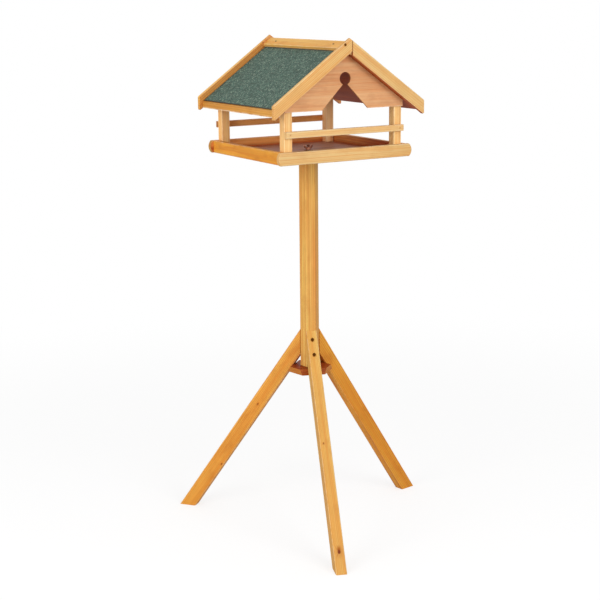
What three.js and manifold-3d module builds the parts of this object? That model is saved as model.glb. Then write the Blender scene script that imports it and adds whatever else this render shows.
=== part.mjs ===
import * as THREE from 'three';
import { ConvexGeometry } from 'three/addons/geometries/ConvexGeometry.js';
import { mergeVertices } from 'three/addons/utils/BufferGeometryUtils.js';
import Module from 'manifold-3d';

// A bird table: an open house with a felted roof over a feeding tray, on a hexagonal pole
// with three raked legs. Millimetres, +Z up, front gable facing -Y, origin on the ground
// in the middle of the part's footprint.

// Driving dimensions

// stand
const standHeight = 855; // ground to the underside of the tray
const standTurn = -20; // degrees that the stand is turned from the house, seen from above
const poleAcrossFlats = 38;
const poleReach = 84.5; // the pole's lower end below the legs' top
const poleEdge = 2; // rounding of the pole's six edges
const legNames = ['leg_front', 'leg_right', 'leg_left'];
const legWidth = 24.6;
const legDepth = 33;
const legRake = 34.2; // degrees from upright
const legTop = 457.5; // ground to the top of the legs' mitre
const legEdge = 2.5;
const plateApothem = 45;
const plateThickness = 12.4;

// tray
const trayInside = 294; // square opening between the boards
const boardThickness = 12;
const boardHeight = 27.5;
const boardEdge = 2.6;
const boardOverhang = 8; // front and rear boards past the side boards
const boardEndBulge = 6;
const floorThickness = 8;

// house
const postSide = 19.6;
const postEdge = 1.6;
const postRise = 121.6; // tray underside to the top of the posts' outer faces
const railHeight = 14;
const railThickness = 9;
const railEdge = 1.4;
const railRise = 55.5; // tray underside to the rails' lower edge
const gableThickness = 4;
const gableRise = 108.5; // tray underside to the gables' lower edge
const gableHoleDrop = 53.15; // gable's peak to the centre of the keyhole
const gableHoleRadius = 13.6;
const gableNeck = 11.8; // width of the keyhole's neck
const gableNotch = 115; // width of the notch at the gable's lower edge

// roof
const roofPitch = 35.4; // degrees
const bargeDepth = 26;
const bargeHang = 1.6; // how far the barge boards hang below the panels, square to the slope
const bargeThickness = 10;
const bargeReach = 190.5; // peak to a right board's tail
const bargeInside = 322; // between the front and the rear pair
const bargeEdge = 2.2;
const bargeCorner = 5; // at a tail's upper edge
const bargeTip = 2.6; // at its lower edge
const bargeLap = 6; // how far a left board's end runs past the peak
const bargeLapCorner = 6;
const eaveSpan = 354;
const panelThickness = 10;
const feltThickness = 2;
const feltMargin = 3.2; // bare wood left along the eave
const ridgeBoardWidth = 24.6;
const ridgeBoardThickness = 7;
const ridgeBoardEdge = 1.4;

// fasteners
const screwHead = 8;
const screwShank = 4;
const screwHeadDepth = 2.6;
const screwSink = 1.2; // how deep a driven screw's head lies below the wood
const legScrewDrops = [18.6, 48.2]; // below the legs' top
const legScrewBite = 15; // into the pole
const plateScrewLength = 45;
const bargeScrewHead = 6;
const bargeScrewShank = 3;
const bargeScrewSide = 12; // from the peak, along the left boards
const bargeScrewDrop = 4.8; // below the boards' upper edge
const postScrewLength = 35;
const nailHead = 3;
const nailShank = 1.6;
const nailHeadDepth = 0.8;
const railNailLength = 21;
const ridgeNailLength = 13;
const ridgeNailInset = 40; // from the boards' ends
const ridgeNailDrop = 11.5; // down the slope from the peak
const boltRadius = 3;
const boltInPole = 35;
const boltAboveFloor = 13.5;
const washerRadius = 10;
const washerThickness = 1.6;
const nutHeight = 6;
const nutFootRadius = 5.4;
const nutTopRadius = 4.3;
const wingSpan = 23;
const wingHeight = 12;
const wingThickness = 2.2;
const wingEdge = 0.6;
const nutClearance = 0.12; // radial, between the bolt and the nut
const earShares = [ // of half the span and of the height: the root, then curves round the ear
  [0.19, 0.12],
  [0.45, 0.12, 1, 0.35, 1, 0.72],
  [1, 0.95, 0.84, 1, 0.7, 0.88],
  [0.6, 0.72, 0.45, 0.56, 0.19, 0.44],
];
const fit = 0.3; // gap where pieces touch

const arcSteps = 5; // facets of a rounded corner
const edgeSteps = 2; // facets of a rounded edge
const roundSides = 24;
const smallSides = 12;

// Worked out from the driving dimensions

const rad = THREE.MathUtils.degToRad;
const slope = Math.tan(rad(roofPitch));
const plumb = (depth) => depth / Math.cos(rad(roofPitch)); // depth square to the slope, measured upright
const floorTop = floorThickness;
const halfInside = trayInside / 2;
const trayOutside = trayInside + 2 * boardThickness;
const houseHalf = halfInside - fit; // outer faces of the posts
const ceilingRise = postRise + fit + houseHalf * slope; // peak of the roof's underside
const ridgeRise = ceilingRise + plumb(bargeDepth - bargeHang); // peak of the barge boards
const panelRise = ceilingRise + plumb(panelThickness);
const feltRise = panelRise + plumb(feltThickness) + fit;
const ridgeBoardRise = feltRise + plumb(ridgeBoardThickness) + fit;
const panelLength = bargeInside - 2 * fit;
const poleRadius = poleAcrossFlats / 2;
const poleTop = standHeight - fit;
const poleFoot = legTop - poleReach;
const plateTop = poleFoot - fit;
const plateFoot = plateTop - plateThickness;
const legRun = Math.tan(rad(legRake));
const legOuter = (z) => poleRadius + fit + (legTop - z) * legRun;
const legInner = (z) => legOuter(z) - legDepth / Math.cos(rad(legRake));
const overrun = legDepth; // spare length of cutting solids

// Colours

const finishes = {
  pine: { color: 0xe3b072, roughness: 0.55, metalness: 0 },
  orangePine: { color: 0xd9944a, roughness: 0.5, metalness: 0 },
  ply: { color: 0xd9a075, roughness: 0.6, metalness: 0 },
  floorPly: { color: 0x966f5b, roughness: 0.7, metalness: 0 },
  felt: { color: 0x5f7568, roughness: 0.95, metalness: 0 },
  screw: { color: 0x3f2c18, roughness: 0.45, metalness: 0.8 },
  nail: { color: 0x8d7350, roughness: 0.4, metalness: 0.9 },
  zinc: { color: 0x6b5a4c, roughness: 0.4, metalness: 0.9 },
};

const wasm = await Module();
wasm.setup();

// Solids: to and from the boolean kernel

function toSolid(shape) {
  if (shape instanceof wasm.Manifold) return shape;
  const bare = shape.clone();
  bare.deleteAttribute('normal');
  bare.deleteAttribute('uv');
  const merged = mergeVertices(bare);
  const corners = merged.index.array;
  const triVerts = [];
  for (let i = 0; i < corners.length; i += 3) {
    const [a, b, c] = corners.slice(i, i + 3);
    if (a !== b && b !== c && c !== a) triVerts.push(a, b, c);
  }
  return new wasm.Manifold(new wasm.Mesh({
    numProp: 3,
    vertProperties: new Float32Array(merged.attributes.position.array),
    triVerts: new Uint32Array(triVerts),
  }));
}

function toGeometry(shape) {
  if (shape instanceof THREE.BufferGeometry) return shape;
  const { vertProperties, triVerts } = shape.getMesh();
  const geometry = new THREE.BufferGeometry();
  geometry.setAttribute('position', new THREE.BufferAttribute(new Float32Array(vertProperties), 3));
  geometry.setIndex([...triVerts]);
  geometry.computeVertexNormals();
  return geometry;
}

function cut(stock, cutters) {
  return cutters.reduce((rest, cutter) => rest.subtract(toSolid(cutter)), toSolid(stock));
}

const common = (a, b) => toSolid(a).intersect(toSolid(b));

// Shapes

function polygon(points) {
  return new THREE.Shape(points.map(([x, y]) => new THREE.Vector2(x, y)));
}

// A polygon whose corners are rounded, each with its own radius (0 keeps it sharp).
function roundedPolygon(points, radii) {
  const corners = points.map(([x, y]) => new THREE.Vector2(x, y));
  const shape = new THREE.Shape();
  corners.forEach((corner, i) => {
    const back = corners.at(i - 1).clone().sub(corner).normalize();
    const ahead = corners[(i + 1) % corners.length].clone().sub(corner).normalize();
    const radius = Array.isArray(radii) ? radii[i] : radii;
    const half = back.angleTo(ahead) / 2;
    const inward = back.clone().add(ahead).normalize();
    const centre = corner.clone().addScaledVector(inward, radius / Math.sin(half));
    const clockwise = back.cross(ahead) > 0;
    const start = corner.clone().addScaledVector(back, radius / Math.tan(half)).sub(centre);
    const end = corner.clone().addScaledVector(ahead, radius / Math.tan(half)).sub(centre);
    if (i === 0) shape.moveTo(centre.x + start.x, centre.y + start.y);
    if (radius > 0) shape.absarc(centre.x, centre.y, radius, start.angle(), end.angle(), clockwise);
    else shape.lineTo(corner.x, corner.y);
  });
  shape.closePath();
  return shape;
}

function rectangle(width, height) {
  const [x, y] = [width / 2, height / 2];
  return [[-x, -y], [x, -y], [x, y], [-x, y]];
}

// A plate of the given outline, with its broad faces square to Z and its edges rounded.
function plate(shape, thickness, edge = 0) {
  return new THREE.ExtrudeGeometry(shape, {
    depth: thickness - 2 * edge,
    curveSegments: arcSteps,
    bevelEnabled: edge > 0,
    bevelThickness: edge,
    bevelSize: edge,
    bevelOffset: -edge,
    bevelSegments: edgeSteps,
  }).translate(0, 0, edge);
}

// The same plate stood up, its outline drawn in X and Z and its thickness along Y.
function standing(shape, thickness, edge = 0) {
  return plate(shape, thickness, edge).translate(0, 0, -thickness / 2).rotateX(Math.PI / 2);
}

// The same, with its outline drawn in Y and Z and its thickness along X.
function standingAcross(shape, thickness, edge = 0) {
  return standing(shape, thickness, edge).rotateZ(Math.PI / 2);
}

// A hexagon with one of its sides facing -Y, as the front leg does.
function hexagon(apothem) {
  const radius = apothem / Math.cos(Math.PI / 6);
  return Array.from({ length: 6 }, (_, i) => {
    const turn = i * Math.PI / 3;
    return [radius * Math.cos(turn), radius * Math.sin(turn)];
  });
}

// A round bar along +Z from its foot.
function bar(radius, length, sides = smallSides) {
  return new THREE.CylinderGeometry(radius, radius, length, sides)
    .rotateX(Math.PI / 2)
    .translate(0, 0, length / 2);
}

// A turned piece along +Z from [radius, height] pairs.
function turned(profile, sides = smallSides) {
  const points = profile.map(([r, z]) => new THREE.Vector2(r, z));
  return new THREE.LatheGeometry(points, sides).rotateX(Math.PI / 2);
}

// Fasteners: each lies along Z with the top of its head at 0 and its point below.

function screw(head, shank, length) {
  return turned([
    [0, -length], [shank / 2, shank - length], [shank / 2, -screwHeadDepth], [head / 2, 0], [0, 0],
  ]);
}

function screwHole(head, shank, length) {
  return turned([
    [0, -length - fit], [shank / 2 + fit, shank - length - fit], [shank / 2 + fit, -screwHeadDepth - fit],
    [head / 2 + fit, -fit], [head / 2 + fit, overrun], [0, overrun],
  ]);
}

function nail(length) {
  return turned([
    [0, -length], [nailShank / 2, nailShank - length], [nailShank / 2, -nailHeadDepth],
    [nailHead / 2, -nailHeadDepth], [nailHead / 2, 0], [0, 0],
  ]);
}

function nailHole(length) {
  return turned([
    [0, -length - fit], [nailShank / 2 + fit, nailShank - length - fit],
    [nailShank / 2 + fit, -nailHeadDepth - fit], [nailHead / 2 + fit, -nailHeadDepth - fit],
    [nailHead / 2 + fit, overrun], [0, overrun],
  ]);
}

// Places: a matrix that puts a fastener's head at a point, with its point going along a direction.
function driven(at, along) {
  const turn = new THREE.Quaternion().setFromUnitVectors(
    new THREE.Vector3(0, 0, -1),
    new THREE.Vector3(...along).normalize(),
  );
  return new THREE.Matrix4().compose(new THREE.Vector3(...at), turn, new THREE.Vector3(1, 1, 1));
}

const placedAt = (make, places) => places.map((place) => make().applyMatrix4(place));

// Places in the stand's frame, where a leg at heading 0 points along +X

const headings = Object.fromEntries(
  legNames.map((name, i) => [name, 2 * Math.PI * i / legNames.length - Math.PI / 2]),
);

const legScrewPlaces = legScrewDrops.map((drop) => {
  const z = legTop - drop;
  return driven([legOuter(z) - screwHeadDepth - screwSink, 0, z], [-1, 0, 0]);
});
const legScrewLengths = legScrewDrops.map(
  (drop) => legOuter(legTop - drop) - screwHeadDepth - screwSink - poleRadius + legScrewBite,
);
const legScrewSet = (make) => legScrewPlaces.map(
  (place, i) => make(screwHead, screwShank, legScrewLengths[i]).applyMatrix4(place),
);
const aroundPole = (make) => Object.values(headings).flatMap(
  (heading) => legScrewSet(make).map((piece) => piece.rotateZ(heading)),
);
const plateScrewPlace = driven([0, 0, plateFoot + screwSink], [0, 0, 1]);

// Stand

function pole() {
  const length = poleTop - poleFoot;
  const stock = plate(roundedPolygon(hexagon(poleRadius), poleEdge), length).translate(0, 0, poleFoot);
  const boltHole = bar(boltRadius + fit, boltInPole + overrun).translate(0, 0, poleTop - boltInPole);
  return cut(stock, [
    boltHole,
    screwHole(screwHead, screwShank, plateScrewLength).applyMatrix4(plateScrewPlace),
    ...aroundPole(screwHole),
  ]);
}

// A leg in the plane of X and Z: planed stock with rounded edges, cut plumb against
// the pole's face and level at the ground.
function leg() {
  const outline = polygon([
    [legOuter(legTop), legTop],
    [legOuter(legTop), legTop - legDepth / Math.sin(rad(legRake))],
    [legInner(0), 0],
    [legOuter(0), 0],
  ]);
  const length = (legTop + 2 * overrun) / Math.cos(rad(legRake));
  const stock = plate(roundedPolygon(rectangle(legDepth, legWidth), legEdge), length)
    .translate(-legDepth / 2, 0, -overrun)
    .rotateY(-rad(legRake))
    .translate(legOuter(0), 0, 0);
  return cut(common(stock, standing(outline, legWidth + overrun)), legScrewSet(screwHole));
}

// The plate that spreads the legs: three of its six sides lean to lie on the legs' backs.
function spreaderPlate() {
  const reach = (z) => legInner(z) - fit; // half as far from the axis as the corners of the leaning triangle
  const prism = plate(polygon(hexagon(plateApothem)), plateThickness).translate(0, 0, plateFoot);
  const triangle = (z) => Object.values(headings).map((heading) => {
    const turn = heading + Math.PI / 3;
    return new THREE.Vector3(2 * reach(z) * Math.cos(turn), 2 * reach(z) * Math.sin(turn), z);
  });
  const lean = new ConvexGeometry([plateFoot, plateTop].flatMap(triangle));
  return cut(common(prism, lean), [
    screwHole(screwHead, screwShank, plateScrewLength).applyMatrix4(plateScrewPlace),
  ]);
}

// Places in the house's frame, whose zero height is the tray's underside

const postCentre = houseHalf - postSide / 2;
const corners = {
  front_left: [-1, -1], front_right: [1, -1], rear_left: [-1, 1], rear_right: [1, 1],
};
const postScrewPlace = ([sx, sy]) => driven([sx * postCentre, sy * postCentre, screwSink], [0, 0, 1]);
const railFace = houseHalf + fit + railThickness;
const railNailPlace = ([sx, sy]) => driven(
  [sx * postCentre, sy * railFace, railRise + railHeight / 2],
  [0, -sy, 0],
);
const ridgeNailPlace = ([sx, sy]) => {
  const x = ridgeNailDrop * Math.cos(rad(roofPitch));
  return driven(
    [sx * x, sy * (panelLength / 2 - ridgeNailInset), ridgeBoardRise - x * slope],
    [-sx * Math.sin(rad(roofPitch)), 0, -Math.cos(rad(roofPitch))],
  );
};
const bargeFace = bargeInside / 2 + bargeThickness;
const bargeMiddle = bargeFace - bargeThickness / 2;
const bargeScrewLength = bargeThickness - 2 * screwSink;
const bargeScrewPlace = (sy) => driven(
  [-bargeScrewSide, sy * (bargeFace - screwSink), ridgeRise - bargeScrewSide * slope - bargeScrewDrop],
  [0, -sy, 0],
);
const bargeScrew = (sy) => screw(bargeScrewHead, bargeScrewShank, bargeScrewLength)
  .applyMatrix4(bargeScrewPlace(sy));
const bargeScrewHole = (sy) => screwHole(bargeScrewHead, bargeScrewShank, bargeScrewLength)
  .applyMatrix4(bargeScrewPlace(sy));
const cornerList = Object.values(corners);

// Tray

function trayFloor() {
  const side = trayInside - 2 * fit;
  return cut(plate(polygon(rectangle(side, side)), floorThickness), [
    bar(boltRadius + fit, floorThickness + 2 * overrun).translate(0, 0, -overrun),
    ...placedAt(() => screwHole(screwHead, screwShank, postScrewLength), cornerList.map(postScrewPlace)),
  ]);
}

// A front or rear board: its ends are rounded to an arc across their height.
function endBoard() {
  const length = trayOutside + 2 * boardOverhang;
  const radius = (boardHeight ** 2 / 4 + boardEndBulge ** 2) / (2 * boardEndBulge);
  const sweep = Math.asin(boardHeight / 2 / radius);
  const outline = new THREE.Shape();
  outline.absarc(length / 2 - radius, boardHeight / 2, radius, -sweep, sweep, false);
  outline.absarc(radius - length / 2, boardHeight / 2, radius, Math.PI - sweep, Math.PI + sweep, false);
  outline.closePath();
  return standing(outline, boardThickness, boardEdge);
}

function sideBoard() {
  const section = roundedPolygon(rectangle(boardThickness, boardHeight), boardEdge);
  return standing(section, trayInside - 2 * fit).translate(0, 0, boardHeight / 2);
}

// House

const underRoof = (x) => ceilingRise - fit - Math.abs(x) * slope;

// A post stands on the floor and its top is bevelled to the roof's slope.
function post(sx, sy) {
  const foot = floorTop + fit;
  const outer = sx * houseHalf;
  const inner = sx * (houseHalf - postSide);
  const stock = plate(roundedPolygon(rectangle(postSide, postSide), postEdge), ridgeRise)
    .translate(sx * postCentre, sy * postCentre, foot);
  const outline = polygon([
    [outer, foot], [inner, foot], [inner, underRoof(inner)], [outer, underRoof(outer)],
  ]);
  const bevel = standing(outline, postSide + overrun).translate(0, sy * postCentre, 0);
  return cut(common(stock, bevel), [
    screwHole(screwHead, screwShank, postScrewLength).applyMatrix4(postScrewPlace([sx, sy])),
    nailHole(railNailLength).applyMatrix4(railNailPlace([sx, sy])),
  ]);
}

function rail(sy) {
  const section = roundedPolygon(rectangle(railThickness, railHeight), railEdge);
  const stock = standingAcross(section, 2 * houseHalf)
    .translate(0, sy * (railFace - railThickness / 2), railRise + railHeight / 2);
  return cut(stock, placedAt(() => nailHole(railNailLength), [[-1, sy], [1, sy]].map(railNailPlace)));
}

// A gable of thin board, with a keyhole that opens into a wide notch at its lower edge.
function gable() {
  const half = houseHalf;
  const neck = gableNeck / 2;
  const spread = Math.asin(neck / gableHoleRadius);
  const holeRise = underRoof(0) - gableHoleDrop;
  const neckRise = holeRise - gableHoleRadius * Math.cos(spread);
  const outline = new THREE.Shape();
  outline.moveTo(-half, gableRise);
  outline.lineTo(-gableNotch / 2, gableRise);
  outline.lineTo(-neck, neckRise);
  outline.absarc(0, holeRise, gableHoleRadius, -Math.PI / 2 - spread, spread - Math.PI / 2, true);
  outline.lineTo(gableNotch / 2, gableRise);
  outline.lineTo(half, gableRise);
  outline.lineTo(half, underRoof(half));
  outline.lineTo(0, underRoof(0));
  outline.lineTo(-half, underRoof(half));
  outline.closePath();
  return new THREE.ExtrudeGeometry(outline, {
    depth: gableThickness, curveSegments: roundSides, bevelEnabled: false,
  }).translate(0, 0, -gableThickness / 2).rotateX(Math.PI / 2);
}

// Roof: every layer is drawn for the right slope, plumb at the ridge, and turned for the left.

function roofLayer(topRise, thickness, reach, length) {
  const near = fit / 2;
  const top = (x) => topRise - x * slope;
  const low = (x) => top(x) - plumb(thickness);
  return standing(
    polygon([[near, low(near)], [reach, low(reach)], [reach, top(reach)], [near, top(near)]]),
    length,
  );
}

const onSlope = (geometry, sx) => (sx > 0 ? geometry : geometry.rotateZ(Math.PI));

function nailed(geometry, sx) {
  const places = [[sx, -1], [sx, 1]].map(ridgeNailPlace);
  return cut(geometry, placedAt(() => nailHole(ridgeNailLength), places));
}

const roofPanel = (sx) => nailed(
  onSlope(roofLayer(panelRise, panelThickness, eaveSpan / 2, panelLength), sx),
  sx,
);

const roofFelt = (sx) => nailed(
  onSlope(roofLayer(feltRise, feltThickness, eaveSpan / 2 - feltMargin, panelLength - 2 * fit), sx),
  sx,
);

// A ridge board is square-edged stock, so its lower edge stands square to the slope.
function ridgeBoard(sx) {
  const pitch = rad(roofPitch);
  const down = (along, under) => [
    along * Math.cos(pitch) - under * Math.sin(pitch),
    ridgeBoardRise - along * Math.sin(pitch) - under * Math.cos(pitch),
  ];
  const near = fit / 2;
  const top = [near, ridgeBoardRise - near * slope];
  const low = [near, ridgeBoardRise - near * slope - plumb(ridgeBoardThickness)];
  const outline = [low, down(ridgeBoardWidth, ridgeBoardThickness), down(ridgeBoardWidth, 0), top];
  const board = standing(roundedPolygon(outline, [0, 0, ridgeBoardEdge, 0]), panelLength - 2 * fit);
  return nailed(onSlope(board, sx), sx);
}

// Barge boards, all cut to one length. The left one's outer half runs past the peak as far as the
// lap, trimmed to the right slope, so its tail ends that much sooner; the right one's inner half
// runs behind it as far as the left board's edge.

function bargeOutline(tail, lap = 0, grow = 0) {
  const top = (x) => ridgeRise + grow - x * slope;
  const low = (x) => top(x) - plumb(bargeDepth) - 2 * grow;
  const end = lap > 0
    ? [[-lap, top(0) - lap * slope], [-lap, low(-lap)]]
    : [[-plumb(bargeDepth) / 2 / slope - grow / slope, ridgeRise - plumb(bargeDepth) / 2]];
  const points = [[tail, low(tail)], [tail, top(tail)], [0, top(0)], ...end];
  const radii = [bargeTip, bargeCorner, 0, 0, bargeLapCorner];
  return roundedPolygon(points, radii);
}

// A block over one half of a barge board's thickness, on side sx of an upright line at x.
function halfBlock(x, sx, sy, outerHalf) {
  const depth = bargeThickness / 2 + overrun;
  const side = (outerHalf ? 1 : -1) * sy;
  return new THREE.BoxGeometry(2 * bargeReach, depth, ridgeRise)
    .translate(x + sx * bargeReach, sy * bargeMiddle + side * (depth - fit) / 2, ridgeRise);
}

function bargeLeft(sy) {
  const outline = bargeOutline(bargeReach - bargeLap, bargeLap);
  const board = standing(outline, bargeThickness, bargeEdge).rotateZ(Math.PI);
  const tongue = standing(bargeOutline(bargeReach, 0, fit), bargeThickness + overrun);
  const housing = common(tongue.translate(0, sy * bargeMiddle, 0), halfBlock(-bargeReach, 1, sy, false));
  return cut(board.translate(0, sy * bargeMiddle, 0), [housing, bargeScrewHole(sy)]);
}

function bargeRight(sy) {
  const board = standing(bargeOutline(bargeReach), bargeThickness, bargeEdge);
  const recess = halfBlock(bargeLap + fit, -1, sy, true);
  return cut(board.translate(0, sy * bargeMiddle, 0), [recess, bargeScrewHole(sy)]);
}

// Fixing at the middle of the tray

function hangerBolt() {
  const top = floorTop + boltAboveFloor;
  return turned([
    [0, -boltInPole], [boltRadius, boltRadius - boltInPole],
    [boltRadius, top - boltRadius / 4], [boltRadius * 3 / 4, top], [0, top],
  ], roundSides);
}

function trayWasher() {
  return cut(bar(washerRadius, washerThickness, roundSides), [
    bar(boltRadius + fit, washerThickness + 2 * overrun, roundSides).translate(0, 0, -overrun),
  ]);
}

// The wing nut: a tapered hub with two ears that rise outwards.
function wingNut() {
  const hub = turned([[0, 0], [nutFootRadius, 0], [nutTopRadius, nutHeight], [0, nutHeight]], roundSides);
  const [root, ...curves] = earShares.map(
    (line) => line.map((share, i) => share * (i % 2 ? wingHeight : wingSpan / 2)),
  );
  const ear = new THREE.Shape();
  ear.moveTo(...root);
  curves.forEach((curve) => ear.bezierCurveTo(...curve));
  ear.closePath();
  const right = toSolid(standing(ear, wingThickness, wingEdge));
  const left = toSolid(standing(ear, wingThickness, wingEdge).rotateZ(Math.PI));
  const bore = bar(boltRadius + nutClearance, wingHeight + 2 * overrun, roundSides).translate(0, 0, -overrun);
  return cut(toSolid(hub).add(right).add(left), [bore]);
}

// Assembly

function part(name, shape, finish) {
  const mesh = new THREE.Mesh(toGeometry(shape), new THREE.MeshStandardMaterial(finishes[finish]));
  mesh.name = name;
  return mesh;
}

function placed(mesh, x, y, z) {
  mesh.position.set(x, y, z);
  return mesh;
}

const eachCorner = (name, make, place, finish) => Object.entries(corners).map(
  ([corner, sides]) => part(`${name}_${corner}`, make().applyMatrix4(place(sides)), finish),
);

function makeStand() {
  const stand = new THREE.Group();
  const plateScrew = screw(screwHead, screwShank, plateScrewLength).applyMatrix4(plateScrewPlace);
  for (const [name, heading] of Object.entries(headings)) {
    const screws = legScrewSet(screw).map((piece, i) => part(`${name}_screw_${i + 1}`, piece, 'screw'));
    const limb = new THREE.Group();
    limb.add(part(name, leg(), 'orangePine'), ...screws);
    limb.rotation.z = heading;
    stand.add(limb);
  }
  stand.add(
    part('pole', pole(), 'pine'),
    part('spreader_plate', spreaderPlate(), 'orangePine'),
    part('spreader_screw', plateScrew, 'screw'),
  );
  stand.rotation.z = rad(standTurn);
  return stand;
}

function makeTray() {
  const tray = new THREE.Group();
  const offset = halfInside + boardThickness / 2;
  tray.add(
    part('tray_floor', trayFloor(), 'floorPly'),
    placed(part('tray_front_board', endBoard(), 'pine'), 0, -offset, 0),
    placed(part('tray_rear_board', endBoard(), 'pine'), 0, offset, 0),
    placed(part('tray_left_board', sideBoard(), 'orangePine'), -offset, 0, 0),
    placed(part('tray_right_board', sideBoard(), 'pine'), offset, 0, 0),
    ...eachCorner('post_screw', () => screw(screwHead, screwShank, postScrewLength), postScrewPlace, 'screw'),
    part('hanger_bolt', hangerBolt(), 'zinc'),
    placed(part('tray_washer', trayWasher(), 'zinc'), 0, 0, floorTop + fit),
    placed(part('wing_nut', wingNut(), 'zinc'), 0, 0, floorTop + washerThickness + 2 * fit),
  );
  return tray;
}

function makeHouse() {
  const house = new THREE.Group();
  for (const [corner, sides] of Object.entries(corners)) {
    house.add(part(`post_${corner}`, post(...sides), 'pine'));
  }
  const gableOffset = houseHalf + fit + gableThickness / 2;
  for (const [end, sy] of [['front', -1], ['rear', 1]]) {
    house.add(
      part(`${end}_rail`, rail(sy), 'pine'),
      placed(part(`gable_${end}`, gable(), 'ply'), 0, sy * gableOffset, 0),
      part(`barge_${end}_left`, bargeLeft(sy), 'pine'),
      part(`barge_${end}_right`, bargeRight(sy), 'pine'),
      part(`barge_screw_${end}`, bargeScrew(sy), 'screw'),
    );
  }
  for (const [side, sx] of [['left', -1], ['right', 1]]) {
    house.add(
      part(`roof_panel_${side}`, roofPanel(sx), 'pine'),
      part(`roof_felt_${side}`, roofFelt(sx), 'felt'),
      part(`ridge_board_${side}`, ridgeBoard(sx), 'pine'),
    );
  }
  house.add(
    ...eachCorner('rail_nail', () => nail(railNailLength), railNailPlace, 'nail'),
    ...eachCorner('ridge_nail', () => nail(ridgeNailLength), ridgeNailPlace, 'nail'),
  );
  return house;
}

const table = new THREE.Group();
const tray = makeTray();
const house = makeHouse();
tray.position.z = standHeight;
house.position.z = standHeight;
table.add(makeStand(), tray, house);

// The origin goes to the middle of the footprint, on the ground.
const middle = new THREE.Box3().setFromObject(table).getCenter(new THREE.Vector3());
table.position.set(-middle.x, -middle.y, 0);

export default table;
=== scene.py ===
from math import cos, pi, radians, sin

import bmesh
import bpy
from mathutils import Euler, Matrix, Vector, noise


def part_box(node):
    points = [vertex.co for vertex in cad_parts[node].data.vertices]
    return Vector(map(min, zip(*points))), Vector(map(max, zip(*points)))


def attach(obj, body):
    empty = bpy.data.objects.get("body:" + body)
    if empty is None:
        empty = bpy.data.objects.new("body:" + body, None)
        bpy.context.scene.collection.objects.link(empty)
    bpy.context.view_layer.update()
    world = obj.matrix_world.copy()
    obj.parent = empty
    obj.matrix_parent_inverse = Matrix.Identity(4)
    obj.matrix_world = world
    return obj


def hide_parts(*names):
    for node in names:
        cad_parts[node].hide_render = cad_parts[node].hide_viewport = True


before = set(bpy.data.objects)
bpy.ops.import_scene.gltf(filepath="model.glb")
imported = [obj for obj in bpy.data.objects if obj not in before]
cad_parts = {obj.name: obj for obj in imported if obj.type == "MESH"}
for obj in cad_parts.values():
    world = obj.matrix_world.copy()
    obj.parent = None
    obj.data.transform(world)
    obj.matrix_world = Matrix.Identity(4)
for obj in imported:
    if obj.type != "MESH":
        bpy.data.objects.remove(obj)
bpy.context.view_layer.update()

scene = bpy.context.scene
mm = 0.001
pitch = radians(35.4)  # of the roof
standTurn = radians(-20)  # of the stand under the house
headings = {  # of the legs, seen from above
    "leg_front": radians(-90) + standTurn,
    "leg_right": radians(30) + standTurn,
    "leg_left": radians(150) + standTurn,
}
rake = radians(34.2)  # of the legs, from upright
poleLow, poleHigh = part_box("pole")
poleAxis = Vector(((poleLow.x + poleHigh.x) / 2, (poleLow.y + poleHigh.y) / 2, 0))
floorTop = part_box("tray_floor")[1].z


def rgb(red, green, blue):  # a colour as a paint chart gives it, made linear
    return tuple(((c / 255 + 0.055) / 1.055) ** 2.4 for c in (red, green, blue)) + (1,)


# Nodes of the materials
# Where no note says otherwise, a pair of numbers is where an effect starts and where it is full.


class Bench:
    def __init__(self, tree):
        self.tree = tree

    def add(self, kind, **settings):
        node = self.tree.nodes.new(kind)
        for key, value in settings.items():
            setattr(node, key, value)
        return node

    def put(self, socket, value):
        if isinstance(value, bpy.types.NodeSocket):
            self.tree.links.new(value, socket)
        else:
            socket.default_value = value

    def fill(self, node, values):
        for key, value in values.items():
            self.put(node.inputs[key], value)
        return node.outputs

    def maths(self, operation, *values):
        node = self.add("ShaderNodeMath", operation=operation)
        return self.fill(node, dict(enumerate(values)))[0]

    def vector(self, operation, *values):
        node = self.add("ShaderNodeVectorMath", operation=operation)
        outputs = self.fill(node, dict(enumerate(values)))
        return outputs["Value" if operation in ("LENGTH", "DOT_PRODUCT") else "Vector"]

    def stretched(self, place, x, y, z):
        return self.vector("MULTIPLY", place, (x, y, z))

    def step(self, value, low, high):  # 0 below low, 1 above high
        node = self.add("ShaderNodeMapRange", interpolation_type="SMOOTHSTEP")
        return self.fill(node, {"Value": value, "From Min": low, "From Max": high})[0]

    def fall(self, value, low, high):  # 1 below low, 0 above high
        return self.maths("SUBTRACT", 1, self.step(value, low, high))

    def noise(self, place, scale=1, detail=2, roughness=0.5, output="Fac"):
        node = self.add("ShaderNodeTexNoise")
        values = {"Vector": place, "Scale": scale, "Detail": detail, "Roughness": roughness}
        return self.fill(node, values)[output]

    def grain(self, place, along, across, detail, roughness, output="Fac"):
        return self.noise(self.stretched(place, along, across, across), 1, detail, roughness, output)

    def cells(self, place, scale, output="Color"):
        return self.fill(self.add("ShaderNodeTexVoronoi"), {"Vector": place, "Scale": scale})[output]

    def mix(self, factor, first, second, blend="MIX"):
        node = self.add("ShaderNodeMix", data_type="RGBA", blend_type=blend)
        return self.fill(node, {0: factor, 6: first, 7: second})[2]  # the places of its colour sockets

    def parts(self, vector):
        return self.fill(self.add("ShaderNodeSeparateXYZ"), {0: vector})

    def bump(self, height, distance, strength):
        node = self.add("ShaderNodeBump")
        return self.fill(node, {"Height": height, "Distance": distance, "Strength": strength})[0]

    def group(self, tree, **inputs):
        return self.fill(self.add("ShaderNodeGroup", node_tree=tree), inputs)

    def placed(self, where, middle, turn):  # a place from the middle of a piece, along its grain
        node = self.add("ShaderNodeMapping", vector_type="TEXTURE")
        return self.fill(node, {"Vector": where, "Location": middle, "Rotation": turn.to_euler()})[0]


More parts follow.
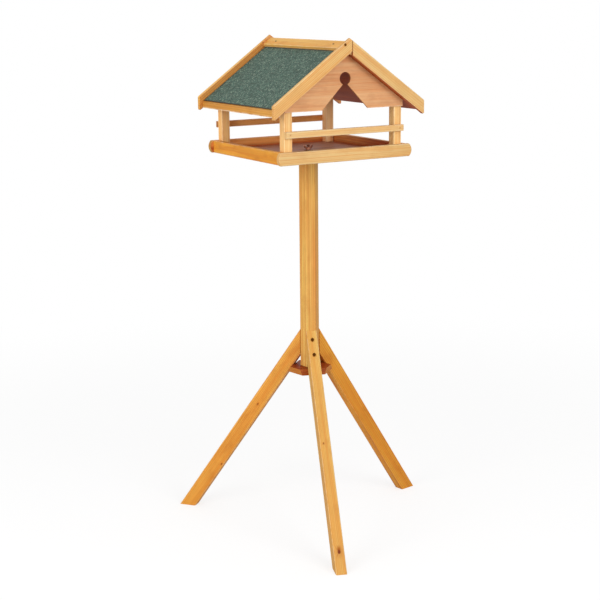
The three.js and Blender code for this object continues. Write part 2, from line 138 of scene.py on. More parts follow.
socketKinds = {"vector": "NodeSocketVector", "number": "NodeSocketFloat", "colour": "NodeSocketColor"}


def newGroup(name, inputs, outputs):
    tree = bpy.data.node_groups.new(name, "ShaderNodeTree")
    for direction, sockets in (("INPUT", inputs), ("OUTPUT", outputs)):
        for key, kind in sockets.items():
            tree.interface.new_socket(key, in_out=direction, socket_type=socketKinds[kind])
    bench = Bench(tree)
    source = bench.add("NodeGroupInput").outputs
    result = bench.add("NodeGroupOutput").inputs
    return tree, bench, source, result


# A knot's reaches are in shares of its size.
knotSettings = {
    "squeeze": 0.62,  # along the grain, where a knot is longer
    "rippleScale": 260, "ripple": 0.5, "heartReach": (0.35, 1.0),
    "rimFrom": (0.7, 1.05), "rimTo": (1.05, 2.6), "pushFade": -0.22,
    "streakFrom": (-2.4, -0.8), "streakTo": (0.0, 0.8), "streakSide": (0.3, 1.3),
}


# How dark a knot is at a place, and how it pushes the grain aside
def makeKnotGroup(
    squeeze, rippleScale, ripple, heartReach, rimFrom, rimTo, pushFade, streakFrom, streakTo, streakSide
):
    tree, b, given, result = newGroup(
        "knot",
        {"Place": "vector", "Knot": "vector", "Size": "number"},
        {"Heart": "number", "Rim": "number", "Push": "number", "Resin": "number"},
    )
    away = b.stretched(b.vector("SUBTRACT", given["Place"], given["Knot"]), squeeze, 1, 1)
    uneven = b.maths("MULTIPLY", b.maths("SUBTRACT", b.noise(given["Place"], rippleScale), 0.5), ripple)
    far = b.maths("ADD", b.maths("DIVIDE", b.vector("LENGTH", away), given["Size"]), uneven)
    b.put(result["Heart"], b.fall(far, *heartReach))
    b.put(result["Rim"], b.maths("MULTIPLY", b.step(far, *rimFrom), b.fall(far, *rimTo)))
    faded = b.maths("MULTIPLY", b.maths("MULTIPLY", far, far), pushFade)
    b.put(result["Push"], b.maths("EXPONENT", faded))
    along = b.maths("DIVIDE", b.parts(away)[0], given["Size"])
    aside = b.maths("DIVIDE", b.vector("LENGTH", b.stretched(away, 0, 1, 1)), given["Size"])
    streak = b.maths("MULTIPLY", b.step(along, *streakFrom), b.fall(along, *streakTo))
    b.put(result["Resin"], b.maths("MULTIPLY", streak, b.fall(aside, *streakSide)))
    return tree


# Noises of the grain: waves a metre along it, waves a metre across it, detail and roughness
grainNoises = {
    "sway": (1.6, 12, 2, 0.5), "shake": (9, 160, 2, 0.5), "streak": (2.4, 42, 3, 0.55),
    "blush": (16, 42, 3, 0.6), "band": (3.2, 170, 2, 0.6), "fibre": (38, 1300, 3, 0.6),
    "fleck": (130, 2400, 1, 0.5),
}

# Cloud and the arrises' wear and painted highlight are noises with scale, detail and roughness.
# Roughness and shades are a factor and a base.
woodSettings = {
    "cloud": (14, 3, 0.6), "wearAndHighlight": (70, 3, 0.6),
    "ringDraw": 0.02,  # how fast a ring drifts along the grain
    "shake": 0.35, "knotPush": 2.4,  # in rings
    "lateFrom": (0.3, 0.9), "lateTo": (0.92, 1), "lateShade": (0.6, 0.4),
    "streak": (0.34, 0.68), "fleck": (0.66, 0.76), "fleckShare": 0.22,
    "blush": (0.5, 0.72), "blushShare": 0.3,
    "band": (0.36, 0.64), "bandTints": ((0.99, 0.89, 0.78, 1), (1.02, 1.06, 1.06, 1)),
    "fibreShade": (0.3, 0.85), "cloudShade": (0.22, 0.89),
    "end": (0.62, 0.86), "endDeepShare": 0.45,
    # the arrises are paler: partly worn, partly a painted highlight
    "arris": (0.2 * mm, 2.8 * mm), "worn": (0.3, 0.62),
    "wornAndHighlightTint": (1, 0.93, 0.78, 1), "wornAndHighlightShare": 0.5,
    "rimShare": 0.4, "resinShare": 0.95, "resinTone": (0.37, 0.1, 0, 1), "heartTone": (0.18, 0.022, 0, 1),
    "roughness": (0.16, 0.42), "endRoughness": 0.22, "lateSmoothness": 0.06,
    "fibreHeight": 0.55, "lateHeight": 0.35, "fleckDepth": 0.3,
}


# Stained softwood: Place is in metres from the middle of the piece, with X along the grain.
def makeWoodGroup(knotGroup, look):
    tree, b, given, result = newGroup(
        "softwood",
        {
            "Place": "vector", "Facing": "vector", "Offset": "vector", "Pith": "vector", "Half": "vector",
            "Ring width": "number", "Wander": "number", "Rings": "number", "Streaks": "number",
            "Edges": "number", "Ends": "number", "Pale": "colour", "Deep": "colour", "Late": "colour",
            "Knot 1": "vector", "Size 1": "number", "Knot 2": "vector", "Size 2": "number",
        },
        {"Color": "colour", "Roughness": "number", "Height": "number"},
    )
    place = b.vector("ADD", given["Place"], given["Offset"])
    knots = [
        b.group(knotGroup, Place=given["Place"], Knot=given[f"Knot {i}"], Size=given[f"Size {i}"])
        for i in (1, 2)
    ]
    heart, rim, push, resin = (
        b.maths("MAXIMUM", knots[0][key], knots[1][key]) for key in ("Heart", "Rim", "Push", "Resin")
    )

    # growth rings round a pith that wanders
    sway = b.vector("SUBTRACT", b.grain(place, *grainNoises["sway"], output="Color"), (0.5, 0.5, 0.5))
    swayed = b.fill(b.add("ShaderNodeVectorMath", operation="SCALE"), {0: sway, "Scale": given["Wander"]})[0]
    section = b.vector("ADD", b.vector("SUBTRACT", given["Place"], given["Pith"]), swayed)
    radius = b.vector("LENGTH", b.stretched(section, look["ringDraw"], 1, 1))
    pushed = b.maths("MULTIPLY", push, look["knotPush"])
    shake = b.maths("MULTIPLY", b.grain(place, *grainNoises["shake"]), look["shake"])
    ringCount = b.maths("ADD", b.maths("DIVIDE", radius, given["Ring width"]), pushed)
    ringCount = b.maths("ADD", ringCount, shake)
    saw = b.maths("FRACT", ringCount)
    late = b.maths("MULTIPLY", b.step(saw, *look["lateFrom"]), b.fall(saw, *look["lateTo"]))
    chance = b.add("ShaderNodeTexWhiteNoise", noise_dimensions="1D")
    chance = b.fill(chance, {"W": b.maths("FLOOR", ringCount)})["Value"]
    late = b.maths("MULTIPLY", late, b.maths("MULTIPLY_ADD", chance, *look["lateShade"]))

    # the ground between them, with streaks, bands, a blush, fibres and flecks
    streak = b.step(b.grain(place, *grainNoises["streak"]), *look["streak"])
    fibre = b.grain(place, *grainNoises["fibre"])
    fleck = b.step(b.grain(place, *grainNoises["fleck"]), *look["fleck"])
    cloud = b.noise(place, *look["cloud"])
    band = b.step(b.grain(place, *grainNoises["band"]), *look["band"])
    blush = b.step(b.grain(place, *grainNoises["blush"]), *look["blush"])
    colour = b.mix(b.maths("MULTIPLY", streak, given["Streaks"]), given["Pale"], given["Deep"])
    colour = b.mix(b.maths("MULTIPLY", late, given["Rings"]), colour, given["Late"])
    colour = b.mix(1, colour, b.mix(band, *look["bandTints"]), "MULTIPLY")
    colour = b.mix(b.maths("MULTIPLY", blush, look["blushShare"]), colour, given["Late"])
    shade = b.maths("MULTIPLY_ADD", fibre, *look["fibreShade"])
    shade = b.maths("MULTIPLY", shade, b.maths("MULTIPLY_ADD", cloud, *look["cloudShade"]))
    colour = b.mix(1, colour, shade, "MULTIPLY")
    colour = b.mix(b.maths("MULTIPLY", fleck, look["fleckShare"]), colour, given["Late"])

    # cut ends drink more stain, and the arrises are paler: partly worn, partly a painted highlight
    end = b.step(b.maths("ABSOLUTE", b.parts(given["Facing"])[0]), *look["end"])
    endTone = b.mix(look["endDeepShare"], given["Late"], given["Deep"])
    colour = b.mix(b.maths("MULTIPLY", end, given["Ends"]), colour, endTone)
    depth = b.parts(b.vector("SUBTRACT", given["Half"], b.vector("ABSOLUTE", given["Place"])))
    arris = b.fall(b.maths("MAXIMUM", depth[1], depth[2]), *look["arris"])
    worn = b.maths("MULTIPLY", arris, b.step(b.noise(place, *look["wearAndHighlight"]), *look["worn"]))
    wornAndHighlightTone = b.mix(look["wornAndHighlightShare"], given["Pale"], look["wornAndHighlightTint"])
    colour = b.mix(b.maths("MULTIPLY", worn, given["Edges"]), colour, wornAndHighlightTone)

    colour = b.mix(b.maths("MULTIPLY", rim, look["rimShare"]), colour, given["Late"])
    colour = b.mix(b.maths("MULTIPLY", resin, look["resinShare"]), colour, look["resinTone"])
    colour = b.mix(heart, colour, look["heartTone"])

    rough = b.maths("MULTIPLY_ADD", fibre, *look["roughness"])
    rough = b.maths("ADD", rough, b.maths("MULTIPLY", end, look["endRoughness"]))
    rough = b.maths("SUBTRACT", rough, b.maths("MULTIPLY", late, look["lateSmoothness"]))
    height = b.maths("MULTIPLY", fibre, look["fibreHeight"])
    height = b.maths("ADD", height, b.maths("MULTIPLY", late, look["lateHeight"]))
    height = b.maths("SUBTRACT", height, b.maths("MULTIPLY", fleck, look["fleckDepth"]))
    b.put(result["Color"], colour)
    b.put(result["Roughness"], rough)
    b.put(result["Height"], height)
    return tree


plySettings = {
    "core": (0.15, 0.2), "edge": (0.4, 0.6), "fray": (420, 3, 0.7),
    "darkTints": ((0.34, 0.24, 0.18, 1), (0.62, 0.5, 0.42, 1)),
    "paleTints": ((0.8, 0.72, 0.64, 1), (1.1, 1.05, 1, 1)),
}


# Plies show on the edges of thin board: the core is dark between two pale ones.
def makePlyGroup(core, edge, fray, darkTints, paleTints):
    tree, b, given, result = newGroup(
        "plies",
        {"Color": "colour", "Place": "vector", "Facing": "vector", "Thickness": "number"},
        {"Color": "colour"},
    )
    across = b.maths("ABSOLUTE", b.maths("DIVIDE", b.parts(given["Place"])[2], given["Thickness"]))
    inCore = b.fall(across, *core)
    onEdge = b.fall(b.maths("ABSOLUTE", b.parts(given["Facing"])[2]), *edge)
    frayed = b.noise(given["Place"], *fray)
    dark = b.mix(1, given["Color"], b.mix(frayed, *darkTints), "MULTIPLY")
    pale = b.mix(1, given["Color"], b.mix(frayed, *paleTints), "MULTIPLY")
    b.put(result["Color"], b.mix(onEdge, given["Color"], b.mix(inCore, pale, dark)))
    return tree


woodGroup = makeWoodGroup(makeKnotGroup(**knotSettings), woodSettings)
plyGroup = makePlyGroup(**plySettings)


def newMaterial(name):
    material = bpy.data.materials.new(name)
    material.use_nodes = True
    bench = Bench(material.node_tree)
    shader = material.node_tree.nodes["Principled BSDF"]
    return material, bench, shader


# Tones of the stained wood: pale and deep are its ground, and late is its rings, its flecks and its cut ends.
tones = {
    "cream": {"pale": rgb(247, 209, 145), "deep": rgb(241, 188, 118), "late": rgb(212, 144, 78)},
    "ivory": {"pale": rgb(233, 199, 143), "deep": rgb(226, 180, 117), "late": rgb(206, 146, 86)},
    "straw": {"pale": rgb(227, 190, 131), "deep": rgb(221, 172, 105), "late": rgb(204, 142, 78)},
    "blush": {"pale": rgb(255, 214, 156), "deep": rgb(255, 190, 130), "late": rgb(226, 146, 90)},
    "apricot": {"pale": rgb(255, 211, 141), "deep": rgb(252, 186, 112), "late": rgb(219, 140, 74)},
    "honey": {"pale": rgb(240, 196, 128), "deep": rgb(231, 172, 96), "late": rgb(202, 130, 60)},
    "barge": {"pale": rgb(230, 186, 119), "deep": rgb(224, 163, 91), "late": rgb(198, 123, 60)},
    "gold": {"pale": rgb(240, 190, 104), "deep": rgb(230, 167, 76), "late": rgb(198, 126, 50)},
    "pole": {"pale": rgb(236, 199, 108), "deep": rgb(224, 162, 82), "late": rgb(192, 122, 52)},
    "leg": {"pale": rgb(225, 180, 98), "deep": rgb(214, 157, 75), "late": rgb(184, 113, 46)},
    "amber": {"pale": rgb(234, 170, 74), "deep": rgb(222, 144, 52), "late": rgb(184, 100, 28)},
    "burnt": {"pale": rgb(233, 165, 60), "deep": rgb(220, 139, 40), "late": rgb(182, 95, 20)},
    "eave": {"pale": rgb(230, 174, 90), "deep": rgb(206, 138, 52), "late": rgb(172, 94, 28)},
    "russet": {"pale": rgb(252, 190, 112), "deep": rgb(246, 162, 84), "late": rgb(204, 112, 50)},
    "rust": {"pale": rgb(208, 136, 62), "deep": rgb(188, 113, 40), "late": rgb(148, 78, 24)},
    "rose": {"pale": rgb(226, 174, 126), "deep": rgb(212, 150, 102), "late": rgb(186, 116, 74)},
    "umber": {"pale": rgb(201, 137, 106), "deep": rgb(180, 115, 88), "late": rgb(142, 88, 62)},
}

# How the grain lies in each kind of stock, in metres from the middle of the piece
cuts = {
    "slab": {"pith": (0, 0.006, 0.038), "ring": 0.0038, "wander": 0.018, "rings": 0.62, "streaks": 0.8},
    "rift": {"pith": (0, 0.03, 0.03), "ring": 0.003, "wander": 0.008, "rings": 0.5, "streaks": 0.8},
    "heart": {"pith": (0, 0.012, 0.004), "ring": 0.0036, "wander": 0.006, "rings": 0.55, "streaks": 1.0},
    "veneer": {"pith": (0, 0.03, 0.05), "ring": 0.0024, "wander": 0.03, "rings": 0.3, "streaks": 0.9},
}

noKnot = ((9, 9, 9), 0.001)  # too far away to show
innerTint = (0.54, 0.2, 0.11, 1)  # shade painted by dim and fades
duskTint = (0.63, 0.74, 0.68, 1)  # shade painted by dusk
turnedAway = (0.15, 0.7)  # how squarely a face looks that way
seedSteps = (1.7, 0.9, 2.3)  # metres of noise from one piece's grain to the next
grainBump = (0.25 * mm, 0.6)  # depth and strength
woodSpecular = 0.2


# Wood for one piece: turn is the rotation that takes X to its grain, middle its centre.
# dim, dusk and fades paint the shade that faces have in the photograph, so it stays under any light.
# dim and dusk hold the ways, each with a share, that such a face looks; dim makes it browner too.
# fades holds faces that darken along an axis: way, share, axis, and the places where it starts and is full.
def woodMaterial(
    name, tone, cut, middle, turn, half, seed,
    knots=(), edges=0.45, ends=0.3, plies=0, dim=(), dusk=(), fades=(),
):
    material, b, shader = newMaterial(name)
    where = b.add("ShaderNodeTexCoord").outputs
    place = b.placed(where["Object"], middle, turn)
    facing = b.add("ShaderNodeMapping", vector_type="VECTOR")
    facing = b.fill(facing, {"Vector": where["Normal"], "Rotation": turn.inverted().to_euler()})[0]
    first, second = (*knots, noKnot, noKnot)[:2]
    stock = cuts[cut]
    stain = tones[tone]
    grain = b.group(
        woodGroup,
        **{
            "Place": place, "Facing": facing, "Offset": tuple(seed * step for step in seedSteps),
            "Pith": stock["pith"], "Half": half, "Ring width": stock["ring"], "Wander": stock["wander"],
            "Rings": stock["rings"], "Streaks": stock["streaks"], "Edges": edges, "Ends": ends,
            "Pale": stain["pale"], "Deep": stain["deep"], "Late": stain["late"],
            "Knot 1": first[0], "Size 1": first[1], "Knot 2": second[0], "Size 2": second[1],
        },
    )
    colour = grain["Color"]
    if plies:
        colour = b.group(plyGroup, Color=colour, Place=place, Facing=facing, Thickness=plies)[0]
    for turned, tint in ((dim, innerTint), (dusk, duskTint)):
        for way, share in turned:
            towards = b.step(b.vector("DOT_PRODUCT", where["Normal"], way), *turnedAway)
            colour = b.mix(b.maths("MULTIPLY", towards, share), colour, b.mix(1, colour, tint, "MULTIPLY"))
    for way, share, axis, start, full in fades:
        towards = b.step(b.vector("DOT_PRODUCT", where["Normal"], way), *turnedAway)
        fade = b.maths("MULTIPLY", towards, b.step(b.parts(where["Object"])[axis], start, full))
        colour = b.mix(b.maths("MULTIPLY", fade, share), colour, b.mix(1, colour, innerTint, "MULTIPLY"))
    b.put(shader.inputs["Base Color"], colour)
    b.put(shader.inputs["Specular IOR Level"], woodSpecular)
    b.put(shader.inputs["Roughness"], grain["Roughness"])
    b.put(shader.inputs["Normal"], b.bump(grain["Height"], *grainBump))
    return material


# Grit and drift are cells a metre; cloud, rust and ragged are noises with scale, detail and roughness.
# The roughness, a shade and the ragged shift are a factor and a base, and bump is a depth and a strength.
feltLook = {
    "grit": 480, "paleGrit": (rgb(80, 106, 92), rgb(134, 150, 134)),
    "darkGrit": (rgb(38, 64, 56), rgb(70, 92, 80)), "palest": (0.6, 0.95), "pale": (0.35, 0.6),
    "roughness": (0.2, 0.75), "bump": (0.7 * mm, 0.9),
    "drift": 170, "driftShade": (0.42, 0.8), "cloud": (60, 3, 0.65), "cloudShade": (0.5, 0.75),
    "rust": (150, 3, 0.6), "rusty": (0.6, 0.72), "rustShare": 0.35, "rustTone": rgb(112, 104, 80),
    "ragged": (110, 3, 0.6), "raggedShift": (0.004, -0.002), "borderShade": (0.001, 0.0042), "borderShadeShare": 0.85,
    "borderShadeTone": rgb(60, 58, 44), "cutEdge": (0.35, 0.6), "cutEdgeTone": rgb(66, 56, 42),
}


# Mineral felt: place has X along the ridge and Y across it. Shade is painted along the felt's border.
def feltMaterial(name, turn, middle, half, ridgeLine, downhill, look):
    material, b, shader = newMaterial(name)
    where = b.add("ShaderNodeTexCoord").outputs
    place = b.placed(where["Object"], middle, turn)
    grit = b.parts(b.cells(place, look["grit"]))
    pale = b.mix(b.step(grit[1], *look["palest"]), *look["paleGrit"])
    dark = b.mix(grit[2], *look["darkGrit"])
    colour = b.mix(b.step(grit[0], *look["pale"]), dark, pale)
    drift = b.maths("MULTIPLY_ADD", b.parts(b.cells(place, look["drift"]))[0], *look["driftShade"])
    cloud = b.maths("MULTIPLY_ADD", b.noise(place, *look["cloud"]), *look["cloudShade"])
    colour = b.mix(1, colour, b.maths("MULTIPLY", drift, cloud), "MULTIPLY")
    rust = b.step(b.noise(place, *look["rust"]), *look["rusty"])
    colour = b.mix(b.maths("MULTIPLY", rust, look["rustShare"]), colour, look["rustTone"])

    # painted shade along the border: at the ends by the barge boards, under the ridge board and at the lower
    # edge
    across = b.parts(place)
    down = b.maths("MULTIPLY", across[1], downhill)
    fromEnd = b.maths("SUBTRACT", half.x, b.maths("ABSOLUTE", across[0]))
    fromFoot = b.maths("SUBTRACT", half.y, down)
    fromRidge = b.maths("SUBTRACT", down, ridgeLine)
    near = b.maths("MINIMUM", b.maths("MINIMUM", fromEnd, fromFoot), fromRidge)
    shift = b.maths("MULTIPLY_ADD", b.noise(place, *look["ragged"]), *look["raggedShift"])
    outsideBorderShade = b.step(b.maths("ADD", near, shift), *look["borderShade"])
    colour = b.mix(b.maths("SUBTRACT", look["borderShadeShare"], outsideBorderShade), colour, look["borderShadeTone"])
    cutEdge = b.fall(b.parts(where["Normal"])[2], *look["cutEdge"])
    colour = b.mix(cutEdge, colour, look["cutEdgeTone"])
    b.put(shader.inputs["Base Color"], colour)
    b.put(shader.inputs["Roughness"], b.maths("MULTIPLY_ADD", grit[0], *look["roughness"]))
    bulge = b.maths("SUBTRACT", 1, b.cells(place, look["grit"], "Distance"))
    b.put(shader.inputs["Normal"], b.bump(bulge, *look["bump"]))
    return material


# stain is a noise with scale, detail and roughness, scratch has waves a metre, bump a depth and a strength.
metalLook = {
    "stain": (420, 4, 0.65), "stained": (0.42, 0.66), "stainRoughness": 0.25, "scratch": (700, 2600, 700),
    "bump": (0.08 * mm, 0.5),
}


def metalMaterial(name, colour, worn, roughness, metallic=1.0):
    material, b, shader = newMaterial(name)
    place = b.add("ShaderNodeTexCoord").outputs["Object"]
    stain = b.step(b.noise(place, *metalLook["stain"]), *metalLook["stained"])
    scratch = b.noise(b.stretched(place, *metalLook["scratch"]))
    b.put(shader.inputs["Base Color"], b.mix(stain, colour, worn))
    b.put(shader.inputs["Metallic"], metallic)
    b.put(shader.inputs["Roughness"], b.maths("MULTIPLY_ADD", stain, metalLook["stainRoughness"], roughness))
    b.put(shader.inputs["Normal"], b.bump(b.maths("ADD", scratch, stain), *metalLook["bump"]))
    return material


materials = {
    "screw": metalMaterial("brownedSteel", rgb(132, 80, 16), rgb(96, 54, 8), 0.42, 0.85),
    "nail": metalMaterial("nailSteel", rgb(112, 82, 46), rgb(70, 46, 24), 0.4),
    "stainedNail": metalMaterial("stainedNail", rgb(222, 170, 106), rgb(196, 136, 76), 0.5, 0.1),
    "zinc": metalMaterial("dullZinc", rgb(168, 114, 90), rgb(114, 73, 57), 0.42),
}
print("materials ready")

# Meshes

hair = 0.001 * mm  # points closer than this are one


def newPiece(bm, name, body="table"):
    mesh = bpy.data.meshes.new(name)
    bm.normal_update()
    bm.to_mesh(mesh)
    bm.free()
    piece = bpy.data.objects.new(name, mesh)
    scene.collection.objects.link(piece)
    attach(piece, body)
    return piece


# A profile of (radius, height) points, spun about Z
def spun(bm, profile, sides):
    verts = [bm.verts.new((radius, 0, height)) for radius, height in profile]
    edges = [bm.edges.new(pair) for pair in zip(verts, verts[1:])]
    bmesh.ops.spin(bm, geom=verts + edges, axis=(0, 0, 1), angle=2 * pi, steps=sides, use_merge=True)
    bmesh.ops.remove_doubles(bm, verts=bm.verts, dist=hair)


def smoothed(bm, sharpest=radians(32)):
    for face in bm.faces:
        face.smooth = True
    for edge in bm.edges:
        edge.smooth = not (len(edge.link_faces) == 2 and edge.calc_face_angle() > sharpest)


def mergedCopy(node, near=0.02 * mm, flat=radians(0.4)):
    bm = bmesh.new()
    bm.from_mesh(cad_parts[node].data)
    bmesh.ops.remove_doubles(bm, verts=bm.verts, dist=near)
    bmesh.ops.dissolve_limit(bm, angle_limit=flat, verts=bm.verts, edges=bm.edges)
    return bm


# Rings of points along a piece, so that it can be a little uneven as planed wood is.
def sliced(bm, middle, along, half, step):
    count = max(2, round(2 * half / step))
    for i in range(1, count):
        point = middle + along * (2 * half * i / count - half)
        geometry = bm.verts[:] + bm.edges[:] + bm.faces[:]
        bmesh.ops.bisect_plane(bm, geom=geometry, plane_co=point, plane_no=along, dist=hair)


def unevened(bm, amount, seed, size, spread):
    bm.normal_update()
    for vert in bm.verts:
        at = vert.co / size + Vector([seed * step for step in spread])
        vert.co -= vert.normal * amount * (0.5 + 0.5 * noise.noise(at))


# Ways for the grain to run: each turn takes X to the grain and Z across the thickness.
def frameAlong(along, across):
    along = Vector(along).normalized()
    across = Vector(across)
    across = (across - along * across.dot(along)).normalized()
    return Matrix((along, across.cross(along), across)).transposed()


def slopeTurn(side):  # down the roof's slope, with Z out of the roof
    return frameAlong((side * cos(pitch), 0, -sin(pitch)), (side * sin(pitch), 0, cos(pitch)))


def legTurn(heading):
    return frameAlong(
        (sin(rake) * cos(heading), sin(rake) * sin(heading), -cos(rake)),
        (cos(rake) * cos(heading), cos(rake) * sin(heading), sin(rake)),
    )


alongX = frameAlong((1, 0, 0), (0, -1, 0))
alongY = frameAlong((0, 1, 0), (1, 0, 0))
alongXFlat = frameAlong((1, 0, 0), (0, 0, 1))
upright = frameAlong((0, 0, 1), (0, -1, 0))
roofUnder = {side: (-sign * sin(pitch), 0, -cos(pitch)) for side, sign in (("left", -1), ("right", 1))}
inwards = {"front": (0, 1, 0), "rear": (0, -1, 0), "left": (1, 0, 0), "right": (-1, 0, 0)}
towardsFloor = (2, floorTop + 10 * mm, floorTop)
ridgeTurns = {
    "left": frameAlong((0, 1, 0), (-sin(pitch), 0, cos(pitch))),
    "right": frameAlong((0, 1, 0), (sin(pitch), 0, cos(pitch))),
}

# Each piece's grain, tone, cut and slot, with the faces where shade is painted. A knot has its place and its
# size.
poleShade = radians(-50)  # the heading of the pole's darker side
woodPieces = {
    "pole": {
        "turn": upright, "tone": "pole", "cut": "heart", "edges": 0, "slot": "pine",
        "dim": (((cos(poleShade), sin(poleShade), 0), 0.22),),
    },
    "leg_front": {
        "turn": legTurn(headings["leg_front"]), "tone": "leg", "cut": "rift", "slot": "orange_pine",
        "knots": (((0.2275, 0.0005, 0.0165), 0.0042), ((-0.012, -0.004, 0.0165), 0.0012)),
    },
    "leg_right": {
        "turn": legTurn(headings["leg_right"]), "tone": "burnt", "cut": "slab", "edges": 0.15,
        "slot": "orange_pine",
    },
    "leg_left": {
        "turn": legTurn(headings["leg_left"]), "tone": "amber", "cut": "rift", "slot": "orange_pine",
        "knots": (((-0.062, 0.0123, -0.001), 0.0016), ((0.121, 0.0123, -0.0115), 0.0015)),
    },
    "spreader_plate": {
        "turn": alongXFlat, "tone": "rust", "cut": "slab", "edges": 0.1, "slot": "orange_pine",
        "dim": (((0, 0, 1), 0.9),),
    },
    "tray_floor": {
        "turn": alongXFlat, "tone": "umber", "cut": "veneer", "plies": 8 * mm, "slot": "floor_ply",
    },
    "tray_front_board": {
        "turn": alongX, "tone": "straw", "cut": "rift", "slot": "pine",
        "fades": ((inwards["front"], 0.8, *towardsFloor),),
    },
    "tray_rear_board": {
        "turn": alongX, "tone": "russet", "cut": "slab", "ends": 0, "slot": "pine",
        "dusk": (((-1, 0, 0), 1),), "fades": ((inwards["rear"], 0.9, *towardsFloor),),
    },
    "tray_left_board": {
        "turn": alongY, "tone": "burnt", "cut": "slab", "slot": "orange_pine",
        "fades": ((inwards["left"], 0.8, *towardsFloor),),
    },
    "tray_right_board": {
        "turn": alongY, "tone": "russet", "cut": "rift", "slot": "pine", "dim": ((inwards["right"], 0.45),),
        "fades": ((inwards["right"], 0.6, *towardsFloor), (inwards["right"], 0.85, 1, 0.09, -0.04)),
    },
    "post_front_left": {"turn": upright, "tone": "cream", "cut": "rift", "slot": "pine"},
    "post_front_right": {"turn": upright, "tone": "cream", "cut": "slab", "slot": "pine"},
    "post_rear_left": {"turn": upright, "tone": "apricot", "cut": "slab", "slot": "pine"},
    "post_rear_right": {"turn": upright, "tone": "blush", "cut": "rift", "slot": "pine"},
    "front_rail": {"turn": alongX, "tone": "ivory", "cut": "rift", "slot": "pine"},
    "rear_rail": {
        "turn": alongX, "tone": "russet", "cut": "slab", "slot": "pine",
        "dim": ((inwards["rear"], 0.12), ((-1, 0, 0), 0.5)), "dusk": (((-1, 0, 0), 0.7),),
    },
    "gable_front": {
        "turn": alongX, "tone": "rose", "cut": "veneer", "plies": 4 * mm, "slot": "ply",
        "dim": ((inwards["front"], 1),),
    },
    "gable_rear": {
        "turn": alongX, "tone": "rose", "cut": "veneer", "plies": 4 * mm, "slot": "ply",
        "dim": ((inwards["rear"], 1),),
    },
    "roof_panel_left": {
        "turn": ridgeTurns["left"], "tone": "eave", "cut": "slab", "edges": 0.9, "slot": "pine",
        "dim": ((roofUnder["left"], 1),),
    },
    "roof_panel_right": {
        "turn": ridgeTurns["right"], "tone": "eave", "cut": "slab", "edges": 0.9, "slot": "pine",
        "dim": ((roofUnder["right"], 1),),
    },
    "ridge_board_left": {"turn": ridgeTurns["left"], "tone": "gold", "cut": "rift", "slot": "pine"},
    "ridge_board_right": {"turn": ridgeTurns["right"], "tone": "gold", "cut": "rift", "slot": "pine"},
    "barge_front_left": {
        "turn": slopeTurn(-1), "tone": "barge", "cut": "slab", "slot": "pine",
        "dim": ((roofUnder["left"], 0.8), (inwards["front"], 0.7)),
    },
    "barge_front_right": {
        "turn": slopeTurn(1), "tone": "straw", "cut": "rift", "slot": "pine",
        "dim": ((roofUnder["right"], 1), (inwards["front"], 0.7)),
    },
    "barge_rear_left": {
        "turn": slopeTurn(-1), "tone": "gold", "cut": "slab", "slot": "pine",
        "dim": ((roofUnder["left"], 0.8), (inwards["rear"], 0.5)),
    },
    "barge_rear_right": {
        "turn": slopeTurn(1), "tone": "honey", "cut": "slab", "slot": "pine",
        "dim": ((roofUnder["right"], 0.8), (inwards["rear"], 0.5)),
    },
}


# The middle of some points, and their half sizes along a turn's own axes
def inFrame(turn, points):
    back = turn.inverted()
    local = [back @ p for p in points]
    low = Vector(min(p[i] for p in local) for i in range(3))
    high = Vector(max(p[i] for p in local) for i in range(3))
    return turn @ ((low + high) / 2), (high - low) / 2


planing = {"amount": 0.15 * mm, "size": 60 * mm, "spread": (3.1, 7.7, 5.3)}
sliceLength = 12 * mm


def dressWood(node, seed, turn, tone, cut, slot, **look):
    bm = mergedCopy(node)
    middle, half = inFrame(turn, [v.co for v in bm.verts])
    sliced(bm, middle, turn @ Vector((1, 0, 0)), half.x, sliceLength)
    unevened(bm, seed=seed, **planing)
    smoothed(bm)
    piece = newPiece(bm, node + "_finished")
    piece.modifiers.new("evenNormals", "WEIGHTED_NORMAL").keep_sharp = True
    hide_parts(node)
    piece.data.materials.append(woodMaterial(node + "Wood", tone, cut, middle, turn, half, seed, **look))


for seed, (node, settings) in enumerate(woodPieces.items(), start=1):
    dressWood(node, seed, **settings)
print("wood dressed")


# Felt: a sheet that swells a little, with a frayed lower edge, just short of the barge boards
feltSettings = {
    "step": 3.0 * mm, "swell": 0.3 * mm, "swellSize": 28 * mm, "fray": 1.3 * mm, "fraySize": 7 * mm,
    "gap": 1.4 * mm, "gapSize": 20 * mm, "thickness": 1.7 * mm,
}


